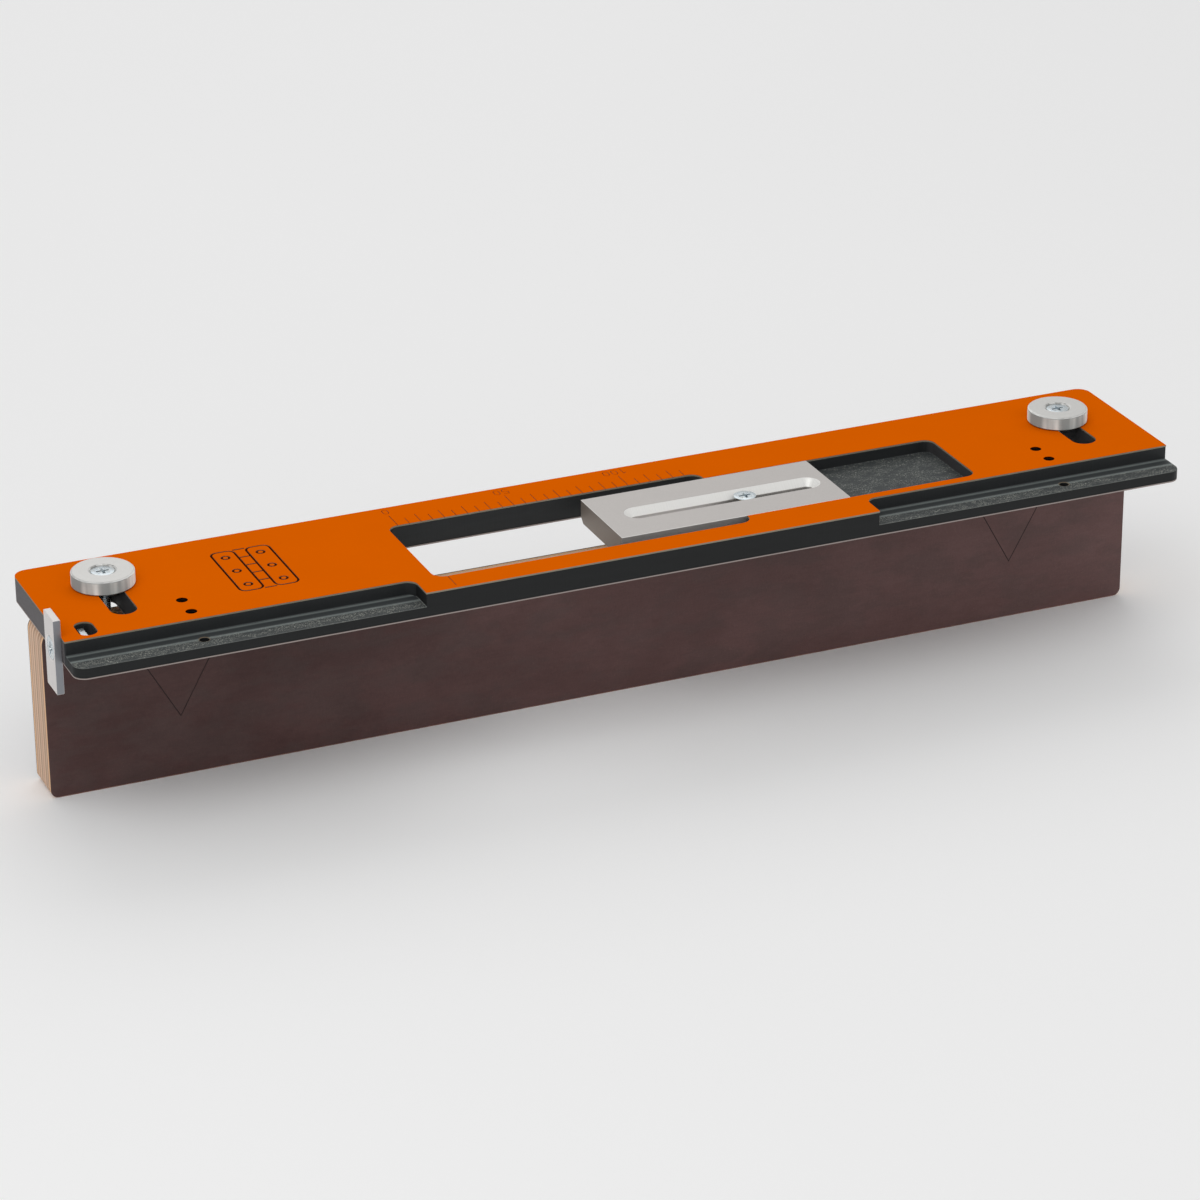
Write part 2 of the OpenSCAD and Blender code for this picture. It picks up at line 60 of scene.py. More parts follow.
SQUARE = ((-1, -1), (1, -1), (1, 1), (-1, 1))
LOG = logging.getLogger("hinge_jig")

Colour = tuple[float, float, float, float]
Pair = tuple[float, float]
Grain = Union[float, tuple[float, float, float]]
Number = Union[int, float]
Source = Union["Value", bpy.types.NodeSocket, Number, Sequence[float]]


def srgb(red: int, green: int, blue: int) -> Colour:
    """Turn a colour given in steps of 0 to 255 into the linear colour that shaders use.

    Args:
        red: Red step.
        green: Green step.
        blue: Blue step.

    Returns:
        The linear colour with an alpha of 1.
    """
    def linear(step: int) -> float:
        """Undo the display curve of one channel."""
        share = step / 255
        return share / 12.92 if share <= 0.04045 else ((share + 0.055) / 1.055) ** 2.4

    return (linear(red), linear(green), linear(blue), 1.0)


class Axis(Enum):
    """An axis of the jig's frame, by its index."""

    X = 0
    Y = 1
    Z = 2


class Value:
    """A number that varies over a surface. Python's operators on it add Math nodes."""

    def __init__(self, surface: "Surface", socket: bpy.types.NodeSocket) -> None:
        """Wrap one output socket of a surface's node tree."""
        self.surface = surface
        self.socket = socket

    def math(self, operation: str, *values: Source) -> "Value":
        """Add a Math node.

        Args:
            operation: The node's operation.
            *values: What goes into its sockets, in order.

        Returns:
            The node's result.
        """
        return self.surface.number("ShaderNodeMath", {"operation": operation}, dict(enumerate(values)))

    def __add__(self, other: Source) -> "Value":
        """Return self + other."""
        return self.math("ADD", self, other)

    def __sub__(self, other: Source) -> "Value":
        """Return self - other."""
        return self.math("SUBTRACT", self, other)

    def __rsub__(self, other: Source) -> "Value":
        """Return other - self."""
        return self.math("SUBTRACT", other, self)

    def __mul__(self, other: Source) -> "Value":
        """Return self * other."""
        return self.math("MULTIPLY", self, other)

    def __truediv__(self, other: Source) -> "Value":
        """Return self / other."""
        return self.math("DIVIDE", self, other)

    def __pow__(self, other: Source) -> "Value":
        """Return self ** other."""
        return self.math("POWER", self, other)

    def __gt__(self, other: Source) -> "Value":
        """Return 1 where self is above other, and 0 elsewhere."""
        return self.math("GREATER_THAN", self, other)

    def __lt__(self, other: Source) -> "Value":
        """Return 1 where self is below other, and 0 elsewhere."""
        return self.math("LESS_THAN", self, other)

    def __abs__(self) -> "Value":
        """Return the size of self without its sign."""
        return self.math("ABSOLUTE", self)

    __radd__ = __add__
    __rmul__ = __mul__

    def fraction(self) -> "Value":
        """Return what is left of self after its whole part."""
        return self.math("FRACT", self)

    def floor(self) -> "Value":
        """Return the whole part of self."""
        return self.math("FLOOR", self)

    def root(self) -> "Value":
        """Return the square root of self."""
        return self.math("SQRT", self)

    def at_most(self, limit: Source) -> "Value":
        """Return self, or limit where self is above it."""
        return self.math("MINIMUM", self, limit)

    def at_least(self, limit: Source) -> "Value":
        """Return self, or limit where self is below it."""
        return self.math("MAXIMUM", self, limit)

    def ramp(self, low: Source, high: Source) -> "Value":
        """Return 0 where self is at low, 1 where it is at high, and a smooth step between."""
        settings = {"interpolation_type": "SMOOTHSTEP"}
        return self.surface.number("ShaderNodeMapRange", settings, {0: self, 1: low, 2: high})


class Surface:
    """A material whose nodes are added by methods."""

    def __init__(self, name: str, **constants: Number) -> None:
        """Start a material.

        Args:
            name: The material's name.
            **constants: Plain values of the shader's sockets, with _ for a space.
        """
        self.material = bpy.data.materials.new(name)
        self.material.use_nodes = True
        self.tree = self.material.node_tree
        self.shader = self.tree.nodes["Principled BSDF"]
        for key, number in constants.items():
            self.shader.inputs[key.replace("_", " ")].default_value = number
        self.coordinates = self.node("ShaderNodeTexCoord")
        place = self.coordinates.outputs["Object"]
        normal = self.coordinates.outputs["Normal"]
        self.place = [Value(self, s) for s in self.node("ShaderNodeSeparateXYZ", {}, {0: place}).outputs]
        self.facing = [Value(self, s) for s in self.node("ShaderNodeSeparateXYZ", {}, {0: normal}).outputs]

    def node(
        self, kind: str, settings: Optional[dict] = None, inputs: Optional[dict] = None
    ) -> bpy.types.Node:
        """Add a node.

        Args:
            kind: The node's type.
            settings: Its properties, which are set first.
            inputs: Values or links of its sockets, by name or index.

        Returns:
            The node.
        """
        made = self.tree.nodes.new(kind)
        for key, choice in (settings or {}).items():
            setattr(made, key, choice)
        for key, source in (inputs or {}).items():
            self.join(source, made.inputs[key])
        return made

    def join(self, source: Source, target: bpy.types.NodeSocket) -> None:
        """Link a source to a socket, or set the socket if the source is a plain value.

        Args:
            source: What goes in.
            target: The socket.
        """
        if isinstance(source, Value):
            source = source.socket
        if isinstance(source, bpy.types.NodeSocket):
            self.tree.links.new(source, target)
        else:
            target.default_value = source

    def number(self, kind: str, settings: Optional[dict] = None, inputs: Optional[dict] = None) -> Value:
        """Add a node and return its first output as a number."""
        return Value(self, self.node(kind, settings, inputs).outputs[0])

    def facing_along(self, axis: Axis, low: float, high: float) -> Value:
        """Return 1 where the surface faces along an axis, either way, and 0 where it lies beside it."""
        return abs(self.facing[axis.value]).ramp(low, high)

    def counted(self, grain: Grain, origin: Sequence[float] = (0, 0, 0)) -> bpy.types.NodeSocket:
        """Count the place on the surface in grains.

        Args:
            grain: Size of a grain, or its sizes along the three axes.
            origin: Where the count starts.

        Returns:
            The place as a vector.
        """
        sizes = grain if isinstance(grain, tuple) else (grain, grain, grain)
        place = self.coordinates.outputs["Object"]
        moved = self.node("ShaderNodeVectorMath", {"operation": "SUBTRACT"}, {0: place, 1: origin})
        inputs = {0: moved.outputs[0], 1: sizes}
        return self.node("ShaderNodeVectorMath", {"operation": "DIVIDE"}, inputs).outputs[0]

    def noise(
        self, grain: Grain, detail: float = 2.0, rough: float = 0.5, origin: Sequence[float] = (0, 0, 0)
    ) -> Value:
        """Return noise from 0 to 1 whose finer layers are counted by detail and weighed by rough."""
        inputs = {"Vector": self.counted(grain, origin), "Scale": 1.0, "Detail": detail, "Roughness": rough}
        return self.number("ShaderNodeTexNoise", {}, inputs)

    def line_noise(self, along: Value, grain: float, detail: float = 2.0) -> Value:
        """Return noise from 0 to 1 that varies with one number only, in grains of a given size."""
        inputs = {"W": along / grain, "Scale": 1.0, "Detail": detail}
        return self.number("ShaderNodeTexNoise", {"noise_dimensions": "1D"}, inputs)

    def specks(self, size: float, low: float, high: float) -> Value:
        """Return 1 within low of a random scatter of points and 0 beyond high, in shares of size."""
        inputs = {"Vector": self.counted(size), "Scale": 1.0}
        return 1 - self.number("ShaderNodeTexVoronoi", {}, inputs).ramp(low, high)

    def away_from(self, middle: Vector) -> Value:
        """Return the distance from the upright axis through middle."""
        x, y, _ = self.place
        return ((x - middle.x) ** 2 + (y - middle.y) ** 2).root()

    def near(self, middles: Sequence[Vector], reach: float, blur: float) -> Value:
        """Return 1 within reach of the upright axes through middles, falling to 0 over blur."""
        return sum(1 - self.away_from(middle).ramp(reach, reach + blur) for middle in middles)

    def mix(self, share: Source, first: Source, second: Source) -> bpy.types.NodeSocket:
        """Return a colour that goes from first to second as share goes from 0 to 1."""
        settings = {"data_type": "RGBA"}
        return self.node("ShaderNodeMix", settings, {0: share, 6: first, 7: second}).outputs[2]

    def tint(self, colour: Source, share: Source) -> bpy.types.NodeSocket:
        """Return a colour made lighter or darker by a share around 1."""
        start = colour[:3] if isinstance(colour, tuple) else colour
        return self.node("ShaderNodeVectorMath", {"operation": "SCALE"}, {0: start, 3: share}).outputs[0]

    def finish(
        self,
        colour: Source,
        roughness: Optional[Source] = None,
        height: Optional[Value] = None,
        metallic: Optional[Source] = None,
    ) -> bpy.types.Material:
        """Link what varies over the surface to the shader.

        Args:
            colour: Base colour.
            roughness: Roughness, if it varies.
            height: Height of the relief in metres, if there is any.
            metallic: Metallic share, if it varies.

        Returns:
            The finished material.
        """
        for name, source in (("Base Color", colour), ("Roughness", roughness), ("Metallic", metallic)):
            if source is not None:
                self.join(source, self.shader.inputs[name])
        if height is not None:
            bump = self.node("ShaderNodeBump", {}, {"Strength": 1.0, "Distance": 1.0, "Height": height})
            self.join(bump.outputs["Normal"], self.shader.inputs["Normal"])
        return self.material


@dataclass(frozen=True)
class OrangeLaminate:
    """Coloured high-pressure laminate with a dark sign, a fainter scale, a dull cut edge and painted shade
    in the pin holes.
    """

    top: float
    sign_end: float
    pins: Sequence[Vector]
    pin_r: float
    colour: Colour = srgb(222, 97, 0)
    edge_colour: Colour = srgb(142, 135, 118)
    sign_colour: Colour = srgb(54, 22, 8)
    scale_colour: Colour = srgb(112, 50, 14)
    pin_hole_shade_colour: Colour = srgb(40, 12, 6)
    skin: float = 0.16 * MM
    pin_shade_blur: float = 0.2 * MM
    cloud_grain: Grain = (30 * MM, 24 * MM, 30 * MM)
    mottle_grain: Grain = 1.4 * MM
    wear_grain: Grain = (4 * MM, 4 * MM, 0.5 * MM)
    paper_grain: Grain = 0.22 * MM

    def material(self) -> bpy.types.Material:
        """Build the finish.

        Returns:
            The material.
        """
        s = Surface("orange_laminate", IOR=1.45, Specular_IOR_Level=0.0)
        x, _, z = s.place
        wall = 1 - s.facing_along(Axis.Z, 0.3, 0.7)
        cut = (self.top - z).ramp(0.7 * self.skin, 1.3 * self.skin)
        on_sign = x < self.sign_end
        cloud = s.noise(self.cloud_grain, 3.0)
        mottle = s.noise(self.mottle_grain, 3.0)
        wear = s.noise(self.wear_grain, 3.0)
        paper = s.noise(self.paper_grain)
        coat = s.tint(self.colour, 0.955 + cloud * 0.06 + mottle * 0.035)
        # Painted shade: the cut walls near the pin holes are painted dark.
        side = s.mix(s.near(self.pins, self.pin_r, self.pin_shade_blur), self.edge_colour, self.pin_hole_shade_colour)
        colour = s.mix(cut * wall, coat, s.tint(side, 0.75 + wear * 0.5))
        engraving = s.tint(s.mix(on_sign, self.scale_colour, self.sign_colour), 0.6 + wear * 0.8)
        colour = s.mix(cut * (1 - wall) * (0.85 + on_sign * 0.12), colour, engraving)
        return s.finish(colour, 0.42 + cloud * 0.1 + cut * 0.2, (paper * 0.006 + mottle * 0.004) * MM)


@dataclass(frozen=True)
class PhenolicCore:
    """Black phenolic core of the plate with milled floors and sawn edges, painted lighter on its back
    walls, with a painted highlight on the rounded edges of its ledges and painted shade in its pin holes.

    The places of the two milled lines, the painted edge highlight and the rough band are shares of a
    ledge's width, counted from the plate's front.
    """

    front: float
    left: float
    ledge_w: float
    holes: Sequence[Vector]
    pins: Sequence[Vector]
    pin_r: float
    hole_r: float = 1.9 * MM
    rim_gap: float = 0.15 * MM
    rim_blur: float = 0.45 * MM
    pin_shade_blur: float = 0.2 * MM
    end_skin: float = 1 * MM
    colour: Colour = srgb(31, 33, 34)
    sawn_colour: Colour = srgb(96, 92, 94)
    floor_colour: Colour = srgb(56, 60, 61)
    edge_highlight_colour: Colour = srgb(150, 154, 150)
    chalk_colour: Colour = srgb(166, 169, 160)
    line_colour: Colour = srgb(132, 140, 138)
    rim_colour: Colour = srgb(126, 100, 62)
    pin_hole_shade_colour: Colour = srgb(26, 8, 4)
    line_place_shares: Sequence[float] = (0.93, 0.54)
    line_w_share: float = 0.1
    ledge_end_share: float = 1.08
    lit_wall_share: float = 0.8
    edge_highlight_share: float = 0.8
    rough_place_share: float = 0.26
    rough_w_share: float = 0.42
    most_chalk: float = 0.85
    wander_grain: Grain = (40 * MM, 6 * MM, 6 * MM)
    swirl_wander: float = 0.4 * MM
    swirl_grain: float = 0.6 * MM
    faint_grain: Grain = (12 * MM, 3 * MM, 12 * MM)
    speck_size: float = 0.7 * MM
    patch_grain: Grain = (7 * MM, 4 * MM, 7 * MM)
    along_grain: Grain = (1.1 * MM, 0.3 * MM, 1.5 * MM)
    across_grain: Grain = (0.32 * MM, 1.0 * MM, 1.5 * MM)
    dust_grain: Grain = 0.35 * MM
    chatter_grain: float = 0.5 * MM
    smoke_grain: Grain = (18 * MM, 18 * MM, 2.2 * MM)
    sawn_grain: Grain = (2 * MM, 5 * MM, 0.6 * MM)
    core_grain: Grain = 0.3 * MM

    def chalk(self, s: Surface, rough: Value) -> Value:
        """Scatter the pale scuffs and dust that lie on the milled floors.

        Args:
            s: The surface.
            rough: How rough the floor is.

        Returns:
            The share of the floor's colour that they cover, which may pass 1.
        """
        speck = s.specks(self.speck_size, 0.1, 0.36)
        patch = s.noise(self.patch_grain, 3.0, 0.6).ramp(0.36, 0.6)
        along = s.noise(self.along_grain).ramp(0.585, 0.64)
        across = s.noise(self.across_grain).ramp(0.6, 0.65)
        dust = s.noise(self.dust_grain, 4.0, 0.7).ramp(0.4, 0.7)
        return (speck * 0.25 + along + across + dust * 0.1) * (0.14 + patch * 0.72) * rough

    def material(self) -> bpy.types.Material:
        """Build the finish.

        Returns:
            The material.
        """
        s = Surface("phenolic_core", IOR=1.45, Specular_IOR_Level=0.3)
        x, y, _ = s.place
        upright = s.facing[Axis.Z.value]
        upward = upright.ramp(0.4, 0.8)
        endward = s.facing_along(Axis.X, 0.5, 0.95)
        wander = s.noise(self.wander_grain)
        share = (y - self.front) / self.ledge_w + wander * 0.03
        on_ledge = share < self.ledge_end_share

        faint = s.noise(self.faint_grain)
        fading = (self.line_w_share * 0.1, self.line_w_share)
        lines = sum(1 - abs(share - middle).ramp(*fading) for middle in self.line_place_shares)
        lines = lines * on_ledge * (0.5 + faint * 0.5)
        rough = 1 - abs(share - self.rough_place_share).ramp(self.rough_w_share * 0.3, self.rough_w_share)
        chalk = self.chalk(s, rough * on_ledge + (1 - on_ledge) * 0.62)
        swirl = s.line_noise(y + wander * self.swirl_wander, self.swirl_grain, 3.0)
        floor = s.tint(self.floor_colour, 0.76 + swirl * 0.42)
        floor = s.mix(lines * 0.85, floor, self.line_colour)
        floor = s.mix(chalk.at_most(self.most_chalk), floor, self.chalk_colour)

        chatter = s.line_noise(x * 0.8 + y * 0.6, self.chatter_grain, 3.0)
        smoke = s.noise(self.smoke_grain, 3.0)
        # Painted light: the walls at the back of the ledges are painted lighter than those at the front.
        lit = 0.6 + (share > self.lit_wall_share) * 0.75
        side = s.tint(self.colour, (0.72 + chatter * 0.3 + smoke * 0.4) * lit)
        sawn = s.tint(self.sawn_colour, 0.78 + s.noise(self.sawn_grain, 3.0) * 0.4)
        outer = x < self.left + self.end_skin
        side = s.mix(endward * (1 - on_ledge) * (0.25 + outer * 0.6), side, sawn)

        colour = s.mix(upward, side, floor)
        # Painted highlight: a pale band on the rounded, up-facing edges of the ledges.
        edge_highlight = upright.ramp(0.25, 0.5) * (1 - upright.ramp(0.85, 0.97))
        colour = s.mix(edge_highlight * (share < self.edge_highlight_share) * (0.1 + faint * 0.45), colour, self.edge_highlight_colour)
        rims = s.near(self.holes, self.hole_r + self.rim_gap, self.rim_blur)
        colour = s.mix(rims * upward * 0.6, colour, self.rim_colour)
        # Painted shade: the pin holes are painted dark inside.
        colour = s.mix(s.near(self.pins, self.pin_r, self.pin_shade_blur), colour, self.pin_hole_shade_colour)
        grain = s.noise(self.core_grain, 3.0)
        relief = (swirl * 0.03 + lines * 0.04 + chalk * 0.04) * upward
        relief = relief + chatter * (1 - upward) * 0.012 + grain * 0.008
        roughness = 0.42 + endward * 0.15 + upward * 0.12 + grain * 0.1
        return s.finish(colour, roughness, relief * MM)


@dataclass(frozen=True)
class BackingLaminate:
    """Thin balancing laminate under the plate, with a pale cut edge."""

    edge_colour: Colour = srgb(152, 140, 136)
    face_colour: Colour = srgb(92, 84, 78)
    wear_grain: Grain = (7 * MM, 7 * MM, 0.4 * MM)
    fibre_grain: Grain = 0.5 * MM

    def material(self) -> bpy.types.Material:
        """Build the finish.

        Returns:
            The material.
        """
        s = Surface("backing_laminate", IOR=1.5)
        flat = s.facing_along(Axis.Z, 0.4, 0.8)
        wear = s.noise(self.wear_grain, 3.0)
        fibre = s.noise(self.fibre_grain, 3.0)
        edge = s.tint(self.edge_colour, 0.78 + wear * 0.42)
        face = s.tint(self.face_colour, 0.85 + wear * 0.2 + fibre * 0.1)
        return s.finish(s.mix(flat, edge, face), 0.42 + fibre * 0.2, (fibre * 0.01) * MM)


@dataclass(frozen=True)
class BlastedAluminium:
    """Bead-blasted aluminium with bright milled slopes, darker ends and painted shade on its sides low in
    the pocket.
    """

    floor: float
    colour: Colour = srgb(196, 192, 189)
    slope_colour: Colour = srgb(244, 243, 240)
    # Darker colour of the ends, also used as painted shade on the sides below the insert's top.
    end_colour: Colour = srgb(160, 151, 143)
    bead_grain: Grain = 0.16 * MM
    cloud_grain: Grain = 14 * MM
    grit_grain: Grain = 0.5 * MM
    fleck_size: float = 0.7 * MM
    ripple_grain: float = 0.35 * MM

    def material(self) -> bpy.types.Material:
        """Build the finish.

        Returns:
            The material.
        """
        s = Surface("blasted_aluminium")
        x, _, z = s.place
        upright = s.facing[Axis.Z.value]
        not_level = 1 - upright.ramp(0.85, 0.95)
        slope = upright.ramp(0.35, 0.5) * not_level
        # Darker on the ends, and painted shade on the sides below the insert's top, down in the pocket.
        end = (s.facing_along(Axis.X, 0.8, 0.95) + (z < self.floor) * not_level).at_most(1.0)
        bead = s.noise(self.bead_grain)
        cloud = s.noise(self.cloud_grain, 3.0)
        grit = s.noise(self.grit_grain)
        fleck = s.specks(self.fleck_size, 0.06, 0.2)
        ripple = s.line_noise(x, self.ripple_grain)
        base = s.tint(self.colour, 0.86 + cloud * 0.1 + bead * 0.08 + grit * 0.14 - fleck * 0.06)
        bright = s.tint(self.slope_colour, 0.9 + ripple * 0.16)
        dull = s.tint(self.end_colour, 0.82 + bead * 0.3)
        colour = s.mix(end, s.mix(slope, base, bright), dull)
        roughness = 0.5 + cloud * 0.08 - slope * 0.2 + bead * 0.08
        relief = (bead * 0.014 * (1 - slope) + ripple * slope * 0.006) * MM
        return s.finish(colour, roughness, relief, 0.9 - slope * 0.5)


@dataclass(frozen=True)
class BarAluminium:
    """Drawn flat bar with fine lines along its length, painted shade on its narrow faces and a painted
    highlight on its rounded edges.
    """

    colour: Colour = srgb(222, 218, 216)
    # Painted shade of the narrow faces.
    edge_colour: Colour = srgb(146, 148, 153)
    line_grain: Grain = (0.12 * MM, 0.12 * MM, 14 * MM)
    cloud_grain: Grain = (5 * MM, 5 * MM, 9 * MM)
    nick_grain: Grain = (1.8 * MM, 1.8 * MM, 0.35 * MM)

    def material(self) -> bpy.types.Material:
        """Build the finish.

        Returns:
            The material.
        """
        s = Surface("bar_aluminium", Metallic=0.85)
        lines = s.noise(self.line_grain, 3.0, 0.6)
        cloud = s.noise(self.cloud_grain, 3.0)
        nick = s.noise(self.nick_grain).ramp(0.68, 0.76)
        narrow = s.facing_along(Axis.Y, 0.85, 0.97)
        flat = narrow + s.facing_along(Axis.X, 0.9, 0.98) + s.facing_along(Axis.Z, 0.9, 0.98)
        # Painted shade: the narrow faces are painted darker.
        colour = s.mix(narrow, self.colour, self.edge_colour)
        # Painted highlight: the rounded edges, which face no axis, are painted lighter.
        colour = s.tint(colour, 0.84 + lines * 0.18 + cloud * 0.08 - nick * 0.12 + (1 - flat) * 0.2)
        return s.finish(colour, 0.32 + cloud * 0.12 + lines * 0.1, (lines * 0.006 - nick * 0.01) * MM)


@dataclass(frozen=True)
class TurnedAluminium:
    """Satin lathe-turned aluminium with fine rings around its own axis, painted reflection bands on its
    rim, a painted highlight on its chamfer over a thin painted shadow, and painted glints and shade in its
    countersink.

    rim_lean tilts the light on the rim upwards, as coarse turning marks do, with no change of shape.
    """

    name: str
    middle: Vector
    top: float
    chamfer: float = 0.6 * MM
    colour: Colour = srgb(214, 213, 210)
    # Painted reflection: the rim is painted in light and dark bands, as the reflected room.
    rim_colour: Colour = srgb(250, 252, 246)
    dark_rim_reflection_colour: Colour = srgb(150, 154, 152)
    shadow_colour: Colour = srgb(96, 94, 92)
    glint_colour: Colour = srgb(252, 252, 250)
    rim_lean: float = 0.55
    sink_r: float = 6 * MM
    glint_start: float = 3.2 * MM
    glint_full: float = 4 * MM
    line_w: float = 0.04 * MM
    line_reach: float = 0.16 * MM
    ring_grain: float = 0.3 * MM
    broad_grain: float = 1.1 * MM
    reflection_band_grain: Grain = (8 * MM, 8 * MM, 60 * MM)
    rub_grain: Grain = (1.6 * MM, 1.6 * MM, 0.25 * MM)
    broken_grain: Grain = 3 * MM
    sink_glint_grain: Grain = (3.4 * MM, 3.4 * MM, 60 * MM)

    def material(self) -> bpy.types.Material:
        """Build the finish.

        Returns:
            The material.
        """
        s = Surface(self.name)
        x, _, z = s.place
        away = s.away_from(self.middle)
        flat = s.facing_along(Axis.Z, 0.5, 0.9)
        outer = (1 - flat) * (away > self.sink_r)
        sink = (away < self.sink_r) * (1 - flat)
        rings = s.line_noise(away + z * 0.9, self.ring_grain)
        broad = s.line_noise(away - z * 1.3, self.broad_grain)
        band = s.noise(self.reflection_band_grain, 3.0, 0.45, self.middle)
        rub = s.noise(self.rub_grain, 3.0, 0.6)
        broken = s.noise(self.broken_grain, origin=self.middle).ramp(0.4, 0.55)

        # Painted reflection: bright and dark bands down the rim.
        rim = s.mix(band.ramp(0.38, 0.62), self.dark_rim_reflection_colour, self.rim_colour)
        colour = s.mix(flat, rim, self.colour)
        colour = s.tint(colour, 0.86 + rings * 0.08 + broad * 0.08 + rub * 0.06)
        # Painted highlight: broken glints on the top chamfer.
        bevel = (self.top - z < self.chamfer) * outer
        colour = s.mix(bevel * (0.3 + broken * 0.6), colour, self.glint_colour)
        # Painted glints and painted shade in the countersink, with a painted glint on its left side.
        sink_glint = s.noise(self.sink_glint_grain, 0.0, 0.5, self.middle).ramp(0.47, 0.53)
        sink_glint = sink_glint.at_least((self.middle.x - x).ramp(self.glint_start, self.glint_full))
        colour = s.mix(sink * 0.85, colour, s.mix(sink_glint, self.shadow_colour, self.glint_colour))
        # Painted shadow: a thin dark band just under the chamfer.
        line = 1 - abs(self.top - self.chamfer - z).ramp(self.line_w, self.line_reach)
        colour = s.mix(line * broken * 0.7, colour, self.shadow_colour)
        relief = (self.top - z) * outer * self.rim_lean + (rings * 0.003 + broad * 0.002) * MM
        return s.finish(colour, 0.34 + band * 0.12 + rings * 0.06, relief, 0.75 - (1 - flat) * 0.6)


@dataclass(frozen=True)
class ZincSteel:
    """Bright zinc-plated steel with a cool cast."""

    colour: Colour = srgb(204, 214, 220)
    warm_colour: Colour = srgb(218, 216, 208)
    cloud_grain: Grain = 1.6 * MM
    fine_grain: Grain = 0.12 * MM
    mark_grain: Grain = (0.9 * MM, 0.12 * MM, 0.5 * MM)

    def material(self) -> bpy.types.Material:
        """Build the finish.

        Returns:
            The material.
        """
        s = Surface("zinc_steel", Metallic=0.9)
        cloud = s.noise(self.cloud_grain, 3.0)
        fine = s.noise(self.fine_grain)
        mark = s.noise(self.mark_grain).ramp(0.64, 0.74)
        colour = s.mix(cloud.ramp(0.4, 0.7) * 0.5, self.colour, self.warm_colour)
        colour = s.tint(colour, 0.92 + fine * 0.12 - mark * 0.15)
        return s.finish(colour, 0.2 + cloud * 0.14 + mark * 0.12, (fine * 0.004 - mark * 0.004) * MM)


@dataclass(frozen=True)
class InsertBrass:
    """Machined brass with a dull yellow tone."""

    colour: Colour = srgb(201, 160, 84)
    dull_colour: Colour = srgb(132, 98, 56)
    stain_grain: Grain = 1.5 * MM
    fine_grain: Grain = (0.2 * MM, 0.2 * MM, 0.08 * MM)

    def material(self) -> bpy.types.Material:
        """Build the finish.

        Returns:
            The material.
        """
        s = Surface("insert_brass", Metallic=1.0)
        stain = s.noise(self.stain_grain, 3.0).ramp(0.45, 0.75)
        fine = s.noise(self.fine_grain)
        colour = s.tint(s.mix(stain * 0.6, self.colour, self.dull_colour), 0.92 + fine * 0.14)
        return s.finish(colour, 0.26 + stain * 0.2 + fine * 0.08, (fine * 0.005) * MM)


@dataclass(frozen=True)
class BirchPlywood:
    """Birch plywood whose layers lie across the board's thickness."""

    front: float
    back: float
    layers: int = 13
    face_layers: float = 1.15
    glue_start: float = 0.43
    glue_full: float = 0.485
    end_colour: Colour = srgb(184, 147, 122)
    long_colour: Colour = srgb(220, 188, 160)
    face_colour: Colour = srgb(238, 190, 142)
    glue_colour: Colour = srgb(108, 80, 64)
    bend_grain: Grain = (30 * MM, 30 * MM, 11 * MM)
    fibre_grain: Grain = (9 * MM, 0.22 * MM, 9 * MM)
    streak_grain: Grain = (0.9 * MM, 0.16 * MM, 0.9 * MM)
    pore_size: float = 0.42 * MM
    wave_grain: Grain = (16 * MM, 1.4 * MM, 16 * MM)
    veneer_step: float = 0.37

    def material(self) -> bpy.types.Material:
        """Build the finish.

        Returns:
            The material.
        """
        s = Surface("birch_plywood", IOR=1.45)
        _, y, _ = s.place
        bend = s.noise(self.bend_grain, 3.0) - 0.5
        layer = (y - self.front) / ((self.back - self.front) / self.layers) + bend * 0.2
        odd = (layer.floor() / 2).fraction() * 2
        across = s.facing_along(Axis.X, 0.6, 0.8)
        end_grain = odd * across + (1 - odd) * (1 - across)
        glue = abs(layer.fraction() - 0.5).ramp(self.glue_start, self.glue_full)
        fibre = s.noise(self.fibre_grain, 4.0, 0.6)
        streak = s.noise(self.streak_grain, 4.0, 0.65)
        pore = s.specks(self.pore_size, 0.1, 0.32)
        wave = s.noise(self.wave_grain)
        veneer = s.line_noise(layer.floor(), self.veneer_step, 0.0)
        long_face = s.tint(self.long_colour, 0.82 + fibre * 0.2 + streak * 0.12)
        end_face = s.tint(self.end_colour, 0.82 + streak * 0.32 - pore * 0.2)
        colour = s.mix(end_grain, long_face, end_face)
        colour = s.mix(glue * (0.35 + wave * 0.45), colour, self.glue_colour)
        face_ply = (layer < self.face_layers) + (layer > self.layers - self.face_layers)
        colour = s.mix(face_ply * 0.75, colour, s.tint(self.face_colour, 0.82 + streak * 0.3))
        colour = s.tint(colour, 0.66 + wave * 0.16 + veneer * 0.52)
        relief = (streak * 0.03 - pore * end_grain * 0.03 - glue * 0.03) * MM
        return s.finish(colour, 0.55 + streak * 0.15, relief)


